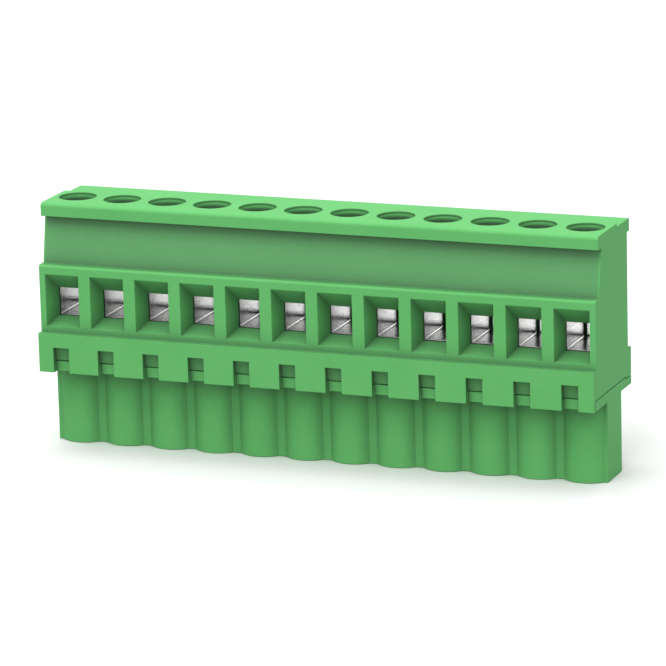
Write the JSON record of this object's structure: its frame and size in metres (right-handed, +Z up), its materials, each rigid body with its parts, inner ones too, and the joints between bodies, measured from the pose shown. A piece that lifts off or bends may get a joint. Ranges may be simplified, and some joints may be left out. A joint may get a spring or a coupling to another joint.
{
  "type": "pluggable terminal block",
  "caption": "Green plug-in terminal block: a row of square wire funnels under top-driven clamp screws, with a scalloped contact tower pointing down.",
  "frame": {"origin": "middle of the underside of the contact tower, on the row's centre line", "axes": "+X along the row to the right as seen from the wire side, +Y to the back, away from the wire entries, +Z up towards the screw heads"},
  "size_m": [0.061, 0.0123, 0.0261],
  "materials": {
    "housing": "satin moulded polyamide",
    "screw": "zinc-plated steel",
    "cage": "nickel-plated, bright",
    "contact": "tin-plated copper alloy"
  },
  "bodies": {
    "block": {"clamp_housing": "housing", "contact_housing": "housing", "pin_contact_01": "contact", "pin_contact_02": "contact", "pin_contact_03": "contact", "pin_contact_04": "contact", "pin_contact_05": "contact", "pin_contact_06": "contact", "pin_contact_07": "contact", "pin_contact_08": "contact", "pin_contact_09": "contact", "pin_contact_10": "contact", "pin_contact_11": "contact", "pin_contact_12": "contact"},
    "screw_01": {"clamp_screw_01": "screw"},
    "cage_01": {"clamp_cage_01": "cage"},
    "screw_02": {"clamp_screw_02": "screw"},
    "cage_02": {"clamp_cage_02": "cage"},
    "screw_03": {"clamp_screw_03": "screw"},
    "cage_03": {"clamp_cage_03": "cage"},
    "screw_04": {"clamp_screw_04": "screw"},
    "cage_04": {"clamp_cage_04": "cage"},
    "screw_05": {"clamp_screw_05": "screw"},
    "cage_05": {"clamp_cage_05": "cage"},
    "screw_06": {"clamp_screw_06": "screw"},
    "cage_06": {"clamp_cage_06": "cage"},
    "screw_07": {"clamp_screw_07": "screw"},
    "cage_07": {"clamp_cage_07": "cage"},
    "screw_08": {"clamp_screw_08": "screw"},
    "cage_08": {"clamp_cage_08": "cage"},
    "screw_09": {"clamp_screw_09": "screw"},
    "cage_09": {"clamp_cage_09": "cage"},
    "screw_10": {"clamp_screw_10": "screw"},
    "cage_10": {"clamp_cage_10": "cage"},
    "screw_11": {"clamp_screw_11": "screw"},
    "cage_11": {"clamp_cage_11": "cage"},
    "screw_12": {"clamp_screw_12": "screw"},
    "cage_12": {"clamp_cage_12": "cage"}
  },
  "joints": [
    {"name": "screw_01_turn", "type": "hinge", "parent": "block", "child": "screw_01", "pos_m": [-0.02794, -0.00084, 0.02], "axis": [0, 0, -1], "range_deg": [0, 2000]},
    {"name": "cage_01_rise", "type": "slide", "parent": "block", "child": "cage_01", "axis": [0, 0, 1], "range_m": [0, 0.0025]},
    {"name": "screw_02_turn", "type": "hinge", "parent": "block", "child": "screw_02", "pos_m": [-0.02286, -0.00084, 0.02], "axis": [0, 0, -1], "range_deg": [0, 2000]},
    {"name": "cage_02_rise", "type": "slide", "parent": "block", "child": "cage_02", "axis": [0, 0, 1], "range_m": [0, 0.0025]},
    {"name": "screw_03_turn", "type": "hinge", "parent": "block", "child": "screw_03", "pos_m": [-0.01778, -0.00084, 0.02], "axis": [0, 0, -1], "range_deg": [0, 2000]},
    {"name": "cage_03_rise", "type": "slide", "parent": "block", "child": "cage_03", "axis": [0, 0, 1], "range_m": [0, 0.0025]},
    {"name": "screw_04_turn", "type": "hinge", "parent": "block", "child": "screw_04", "pos_m": [-0.0127, -0.00084, 0.02], "axis": [0, 0, -1], "range_deg": [0, 2000]},
    {"name": "cage_04_rise", "type": "slide", "parent": "block", "child": "cage_04", "axis": [0, 0, 1], "range_m": [0, 0.0025]},
    {"name": "screw_05_turn", "type": "hinge", "parent": "block", "child": "screw_05", "pos_m": [-0.00762, -0.00084, 0.02], "axis": [0, 0, -1], "range_deg": [0, 2000]},
    {"name": "cage_05_rise", "type": "slide", "parent": "block", "child": "cage_05", "axis": [0, 0, 1], "range_m": [0, 0.0025]},
    {"name": "screw_06_turn", "type": "hinge", "parent": "block", "child": "screw_06", "pos_m": [-0.00254, -0.00084, 0.02], "axis": [0, 0, -1], "range_deg": [0, 2000]},
    {"name": "cage_06_rise", "type": "slide", "parent": "block", "child": "cage_06", "axis": [0, 0, 1], "range_m": [0, 0.0025]},
    {"name": "screw_07_turn", "type": "hinge", "parent": "block", "child": "screw_07", "pos_m": [0.00254, -0.00084, 0.02], "axis": [0, 0, -1], "range_deg": [0, 2000]},
    {"name": "cage_07_rise", "type": "slide", "parent": "block", "child": "cage_07", "axis": [0, 0, 1], "range_m": [0, 0.0025]},
    {"name": "screw_08_turn", "type": "hinge", "parent": "block", "child": "screw_08", "pos_m": [0.00762, -0.00084, 0.02], "axis": [0, 0, -1], "range_deg": [0, 2000]},
    {"name": "cage_08_rise", "type": "slide", "parent": "block", "child": "cage_08", "axis": [0, 0, 1], "range_m": [0, 0.0025]},
    {"name": "screw_09_turn", "type": "hinge", "parent": "block", "child": "screw_09", "pos_m": [0.0127, -0.00084, 0.02], "axis": [0, 0, -1], "range_deg": [0, 2000]},
    {"name": "cage_09_rise", "type": "slide", "parent": "block", "child": "cage_09", "axis": [0, 0, 1], "range_m": [0, 0.0025]},
    {"name": "screw_10_turn", "type": "hinge", "parent": "block", "child": "screw_10", "pos_m": [0.01778, -0.00084, 0.02], "axis": [0, 0, -1], "range_deg": [0, 2000]},
    {"name": "cage_10_rise", "type": "slide", "parent": "block", "child": "cage_10", "axis": [0, 0, 1], "range_m": [0, 0.0025]},
    {"name": "screw_11_turn", "type": "hinge", "parent": "block", "child": "screw_11", "pos_m": [0.02286, -0.00084, 0.02], "axis": [0, 0, -1], "range_deg": [0, 2000]},
    {"name": "cage_11_rise", "type": "slide", "parent": "block", "child": "cage_11", "axis": [0, 0, 1], "range_m": [0, 0.0025]},
    {"name": "screw_12_turn", "type": "hinge", "parent": "block", "child": "screw_12", "pos_m": [0.02794, -0.00084, 0.02], "axis": [0, 0, -1], "range_deg": [0, 2000]},
    {"name": "cage_12_rise", "type": "slide", "parent": "block", "child": "cage_12", "axis": [0, 0, 1], "range_m": [0, 0.0025]}
  ],
  "couplings": [
    {"joint": "screw_01_turn", "follows": "cage_01_rise", "rad_per_m": 13963},
    {"joint": "screw_02_turn", "follows": "cage_02_rise", "rad_per_m": 13963},
    {"joint": "screw_03_turn", "follows": "cage_03_rise", "rad_per_m": 13963},
    {"joint": "screw_04_turn", "follows": "cage_04_rise", "rad_per_m": 13963},
    {"joint": "screw_05_turn", "follows": "cage_05_rise", "rad_per_m": 13963},
    {"joint": "screw_06_turn", "follows": "cage_06_rise", "rad_per_m": 13963},
    {"joint": "screw_07_turn", "follows": "cage_07_rise", "rad_per_m": 13963},
    {"joint": "screw_08_turn", "follows": "cage_08_rise", "rad_per_m": 13963},
    {"joint": "screw_09_turn", "follows": "cage_09_rise", "rad_per_m": 13963},
    {"joint": "screw_10_turn", "follows": "cage_10_rise", "rad_per_m": 13963},
    {"joint": "screw_11_turn", "follows": "cage_11_rise", "rad_per_m": 13963},
    {"joint": "screw_12_turn", "follows": "cage_12_rise", "rad_per_m": 13963}
  ]
}
